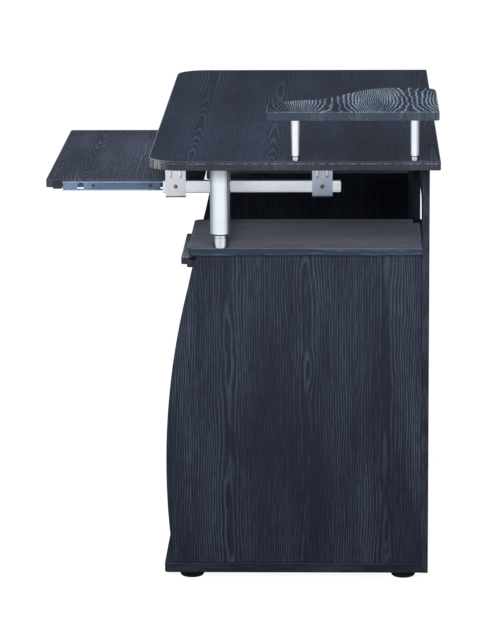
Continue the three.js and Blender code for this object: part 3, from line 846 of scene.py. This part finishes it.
def make_moving_member(node, web_high):
    lo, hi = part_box(node)
    middle = (lo.z + hi.z) / 2
    path = inner_path(hi.x - lo.x, hi.z - lo.z)
    obj = piece(f"{node}_rolled", *rail_shape(node, path, SLIDE_SHEET, web_high), "zinc",
                body_with(node), slot_of(node), (node,))
    plane, way = (hi.x, -1) if web_high else (lo.x, 1)
    x0, x1 = sorted((plane - way * 2 * MM, plane + way * 3 * MM))
    cutters = [rod_shape(INNER_HOLE_RADIUS, x0, x1, lo.y + back, middle) for back in INNER_HOLES]
    cutters += [window_shape(x0, x1, lo.y + back, lo.y + back + width, middle, LATCH_WINDOW_HEIGHT)
                for back, width in LATCH_WINDOWS]
    carve(obj, cutters)
    bend = SLIDE_BEND + SLIDE_SHEET
    # The bends along both lips take the near-white zinc as a painted highlight.
    paint_faces(obj, "zinc_bend_highlight", lambda at, _normal: min(hi.z - at.z, at.z - lo.z) < 0.8 * bend)
    rims = [hole_rim(plane + way * SLIDE_SHEET, way, lo.y + back, middle) for back in INNER_HOLES]
    piece(f"{node}_hole_rims", *joined(rims), "zinc", body_with(node), slot_of(node))
    # A dark disc in the black plastic colour, just inside each hole: painted shade for the hole's depth.
    cup = sorted(plane + way * depth for depth in HOLE_SHADE_DEPTHS)
    cups = [rod_shape(HOLE_SHADE_RADIUS, *cup, lo.y + back, middle) for back in INNER_HOLES]
    piece(f"{node}_hole_shade_discs", *joined(cups), "plastic", body_with(node), "black_plastic")


def ball_shape(centre):
    profile = [(BALL_RADIUS * math.sin(math.radians(a)), -BALL_RADIUS * math.cos(math.radians(a)))
               for a in range(0, 181, 15)]
    profile[0], profile[-1] = (0, profile[0][1]), (0, profile[-1][1])
    return turned(profile, centre, 20)


def make_cage(node, web_high):
    """A bent strip with a row of steel balls in each of its two lips."""
    lo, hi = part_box(node)
    h, web = (hi.z - lo.z - CAGE_SHEET) / 2, CAGE_SHEET / 2
    bend = 1.2 * MM
    half = [(web, 0), (web, (h - bend) / 2)] + arc((web + bend, h - bend), bend, 180, 90, 5)
    half.append((hi.x - lo.x, h))
    shape = rail_shape(node, mirrored(half), CAGE_SHEET, web_high)
    piece(f"{node}_strip", *shape, "zinc", body_with(node), slot_of(node), (node,))
    count = int((hi.y - lo.y) / BALL_PITCH)
    start = (lo.y + hi.y - (count - 1) * BALL_PITCH) / 2
    middle = (lo.z + hi.z) / 2
    depth = (lo.x + hi.x) / 2
    balls = [ball_shape(Vector((depth, start + k * BALL_PITCH, middle + up * h)))
             for k in range(count) for up in (-1, 1)]
    piece(f"{node}_balls", *joined(balls), "steel", body_with(node), slot_of(node))


def make_bumper(node):
    """A moulded stop block with softened edges."""
    lo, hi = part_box(node)
    bm = slab(outline_of(node, X), X, hi.x - lo.x, 1.4 * MM, 4)
    mesh = bpy.data.meshes.new(f"{node}_moulded")
    bm.to_mesh(mesh)
    bm.free()
    obj = bpy.data.objects.new(f"{node}_moulded", mesh)
    finish_piece(obj, "plastic", body_with(node), slot_of(node), (node,), 50.0)


def make_slides():
    for hand, side in SIDES.items():
        make_fixed_member(f"{hand}_tray_slide_outer", side > 0)
        make_moving_member(f"{hand}_tray_slide_inner", side < 0)
        make_cage(f"{hand}_tray_slide_cage", side > 0)
        make_bumper(f"{hand}_tray_bumper")
    for place, side in (("outer", 1), ("inner", -1)):
        make_fixed_member(f"board_{place}_slide_outer", side > 0)
        make_moving_member(f"board_{place}_slide_inner", side < 0)
        make_cage(f"board_{place}_slide_cage", side > 0)
        make_bumper(f"board_{place}_bumper")


# ---- brackets and screws ----


def make_bracket(node, side, material):
    """A bent sheet bracket with two ribs pressed into its web below the upper bend, whose crowns carry a
    painted highlight.
    """
    lo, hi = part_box(node)
    fixed, way = (lo.x, 1) if side > 0 else (hi.x, -1)
    t, r = BRACKET_SHEET / 2, BRACKET_BEND
    web = BRACKET_LIP + t
    top, bottom = hi.z - t, lo.z + t
    path = [(hi.x - lo.x, top)] + arc((web + r, top - r), r, 90, 180, 6)
    z_high, z_low = top - r, bottom + r
    path += [(web, z_high + (z_low - z_high) * k / BRACKET_STEPS) for k in range(1, BRACKET_STEPS)]
    path += arc((web - r, bottom + r), r, 0, -90, 6) + [(0, bottom)]
    middle = (lo.y + hi.y) / 2

    def rib(y, z):
        along = min(1.0, max(0.0, (z - (top - RIB_LENGTH)) / (3 * MM)))
        across = min(abs(y - middle - RIB_OFFSET), abs(y - middle + RIB_OFFSET)) / RIB_HALF_WIDTH
        return RIB_HEIGHT * along * math.cos(min(across, 1.0) * math.pi / 2) ** 2

    def place(u, v, y):
        push = rib(y, v) if u > web - t - 0.1 * MM else 0.0
        flange = max(0.0, (u - web - t) / r)
        push *= max(0.0, 1.0 - flange)
        return Vector((fixed + way * (u + push), y, v))

    rows = [lo.y + (hi.y - lo.y) * k / BRACKET_ROWS for k in range(BRACKET_ROWS + 1)]
    shape = drawn_sheet(path, BRACKET_SHEET, rows, place)
    obj = piece(f"{node}_pressed", *shape, material, "desk", slot_of(node), (node,))
    # The ribs' crowns take the brighter rail silver as a painted highlight.
    paint_faces(obj, "rail", lambda at, _normal: rib(at.y, at.z) > 0.4 * RIB_HEIGHT)


def make_screw(node, side):
    """A pan-head screw with a cross recess. Its head is a round grid whose height follows the dome."""
    lo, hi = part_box(node)
    middle = Vector((0, (lo.y + hi.y) / 2, (lo.z + hi.z) / 2))
    radius = (hi.z - lo.z) / 2
    outer, inner = (hi.x, lo.x) if side > 0 else (lo.x, hi.x)
    base = outer - side * SCREW_DOME
    rings, spokes = 14, 48
    slot_half, slot_reach, slot_deep = 0.13 * radius, 0.62 * radius, 0.9 * MM

    def height(y, z):
        r = min(math.hypot(y, z) / radius, 1.0)
        dome = SCREW_DOME * (1 - r ** 2.6) ** 0.5 if r < 1 else 0.0
        in_slot = min(abs(y), abs(z)) < slot_half and max(abs(y), abs(z)) < slot_reach
        return dome - (slot_deep if in_slot else 0.0)

    verts, faces = [Vector((base + side * height(0, 0), middle.y, middle.z))], []
    for i in range(1, rings + 1):
        for k in range(spokes):
            a = 2 * math.pi * k / spokes
            y, z = radius * i / rings * math.cos(a), radius * i / rings * math.sin(a)
            verts.append(Vector((base + side * height(y, z), middle.y + y, middle.z + z)))
    for k in range(spokes):
        n = (k + 1) % spokes
        faces.append((0, 1 + k, 1 + n))
        for i in range(rings - 1):
            a, b = 1 + i * spokes, 1 + (i + 1) * spokes
            faces.append((a + k, b + k, b + n, a + n))
    faces.append(tuple(1 + (rings - 1) * spokes + k for k in range(spokes)))
    shank = rod_shape(SCREW_SHANK_RADIUS, *sorted((inner, base)), middle.y, middle.z)
    head = joined([(verts, faces), shank])
    piece(f"{node}_cross_head", *head, "brass", "desk", slot_of(node), (node,), 40.0)


def make_brackets():
    for hand, side in SIDES.items():
        # The rear brackets take the darker silver as painted shade.
        for place, material in (("front", "bracket"), ("rear", "rear_bracket")):
            make_bracket(f"{hand}_{place}_bracket", side, material)
            make_screw(f"{hand}_{place}_bracket_screw", side)


# ---- stage, light and camera ----


def plain_when_seen(tree, seen_shader, lighting_shader):
    """Mixes what the camera sees directly with what lights the desk."""
    direct = add(tree, "ShaderNodeLightPath").outputs["Is Camera Ray"]
    return add(tree, "ShaderNodeMixShader", {0: direct, 1: lighting_shader, 2: seen_shader}).outputs[0]


def make_floor():
    """A plain pale floor, which looks nearly white and takes a soft shadow. Away from the desk it is lit, so
    that it shines into the edges and the metal from low down, most of all from the desk's right end. Under
    the desk it stays dim."""
    material, tree = material_tree("pale_floor")
    glow = add(tree, "ShaderNodeEmission", {"Color": (1, 1, 1, 1), "Strength": 0.94}).outputs[0]
    paint = add(tree, "ShaderNodeBsdfDiffuse", {"Color": (0.30, 0.30, 0.30, 1)}).outputs[0]
    pale = add(tree, "ShaderNodeAddShader", {0: glow, 1: paint}).outputs[0]
    place = add(tree, "ShaderNodeTexCoord").outputs["Object"]
    distance = add(tree, "ShaderNodeVectorMath", {0: place}, operation="LENGTH").outputs["Value"]
    xyz = add(tree, "ShaderNodeSeparateXYZ", {0: place}).outputs
    ahead = remap(tree, calc(tree, "DIVIDE", xyz[X], distance), -0.5, 0.85, 0.25, 1.0, True)
    aside = remap(tree, calc(tree, "DIVIDE", xyz[Y], distance), 0.6, 1.0, 1.0, 0.6, True)
    lit = calc(tree, "MULTIPLY", remap(tree, distance, FLOOR_DIM, FLOOR_LIT, 0.0, 1.10, True),
               calc(tree, "MULTIPLY", ahead, aside))
    shine = add(tree, "ShaderNodeEmission", {"Color": (0.93, 0.96, 1.0, 1), "Strength": lit}).outputs[0]
    dim = add(tree, "ShaderNodeAddShader", {0: shine, 1: paint}).outputs[0]
    output = add(tree, "ShaderNodeOutputMaterial")
    tree.links.new(plain_when_seen(tree, pale, dim), output.inputs["Surface"])
    reach = 60.0
    mesh = bpy.data.meshes.new("floor")
    mesh.from_pydata([(-reach, -reach, 0), (reach, -reach, 0), (reach, reach, 0), (-reach, reach, 0)], [],
                     [(0, 1, 2, 3)])
    mesh.materials.append(material)
    floor = bpy.data.objects.new("floor", mesh)
    bpy.context.scene.collection.objects.link(floor)


def make_world():
    """A soft room: brighter overhead and in front, dim and cool behind. Seen directly it is plain white."""
    world = bpy.data.worlds.new("studio")
    world.use_nodes = True
    tree = world.node_tree
    tree.nodes.clear()
    way = add(tree, "ShaderNodeTexCoord").outputs["Generated"]
    xyz = add(tree, "ShaderNodeSeparateXYZ", {0: way}).outputs
    level = remap(tree, xyz[Z], 0.1, 0.9, 0.12, 0.42, True)
    level = calc(tree, "MULTIPLY", level, remap(tree, xyz[Y], -0.7, 0.7, 1.3, 0.7, True))
    room = add(tree, "ShaderNodeBackground", {"Color": (0.66, 0.79, 1.0, 1), "Strength": level}).outputs[0]
    plain = add(tree, "ShaderNodeBackground", {"Color": (1, 1, 1, 1), "Strength": 1.0}).outputs[0]
    output = add(tree, "ShaderNodeOutputWorld")
    tree.links.new(plain_when_seen(tree, plain, room), output.inputs["Surface"])
    bpy.context.scene.world = world


def softbox(name, at, target, width, height, power, mirrored=True):
    """An area lamp that faces its target. If it isn't mirrored, it leaves no bright patch on a glossy top."""
    data = bpy.data.lights.new(name, "AREA")
    data.shape, data.size, data.size_y = "RECTANGLE", width, height
    data.energy = power
    lamp = bpy.data.objects.new(name, data)
    lamp.location = at
    lamp.rotation_mode = "QUATERNION"
    lamp.rotation_quaternion = (Vector(target) - Vector(at)).to_track_quat("-Z", "Y")
    lamp.visible_camera = False
    lamp.visible_glossy = mirrored
    bpy.context.scene.collection.objects.link(lamp)


def make_lights():
    """Cards stand round the desk's right end at the camera's side, high enough to light the tops under the
    desktop but not the walls behind them, and two lamps hang above."""
    softbox("card_left", (2.1, -2.6, 1.9), (0.58, 0.1, 0.7), 2.0, 1.0, 9)
    softbox("card_middle", (3.4, -0.15, 1.85), (0.58, 0.1, 0.7), 0.35, 0.8, 27, mirrored=False)
    softbox("card_right", (3.2, 1.4, 1.9), (0.58, 0.1, 0.7), 1.6, 1.0, 9)
    softbox("key", (3.2, -0.6, 3.0), (0.4, 0.0, 0.8), 1.4, 1.4, 26, mirrored=False)
    softbox("overhead", (2.7, 0.2, 2.8), (0.4, 0.1, 0.8), 1.8, 1.8, 32)


def make_camera():
    forward = Vector((-math.cos(CAMERA_YAW) * math.cos(CAMERA_PITCH),
                      math.sin(CAMERA_YAW) * math.cos(CAMERA_PITCH), -math.sin(CAMERA_PITCH)))
    level = forward.cross(Vector((0, 0, 1))).normalized()
    above = level.cross(forward)
    right = level * math.cos(CAMERA_ROLL) + above * math.sin(CAMERA_ROLL)
    up = above * math.cos(CAMERA_ROLL) - level * math.sin(CAMERA_ROLL)
    data = bpy.data.cameras.new("camera")
    data.lens, data.sensor_width = CAMERA_LENS, SENSOR
    data.clip_start, data.clip_end = 0.1, 200.0
    camera = bpy.data.objects.new("camera", data)
    turn = Matrix((right, up, -forward)).transposed()
    camera.matrix_world = Matrix.Translation(CAMERA_AT) @ turn.to_4x4()
    bpy.context.scene.collection.objects.link(camera)
    bpy.context.scene.camera = camera


make_camera()
make_world()
make_lights()
make_floor()
make_boards()
make_posts()
make_feet()
make_slides()
make_brackets()
bpy.context.scene.view_settings.view_transform = "Standard"
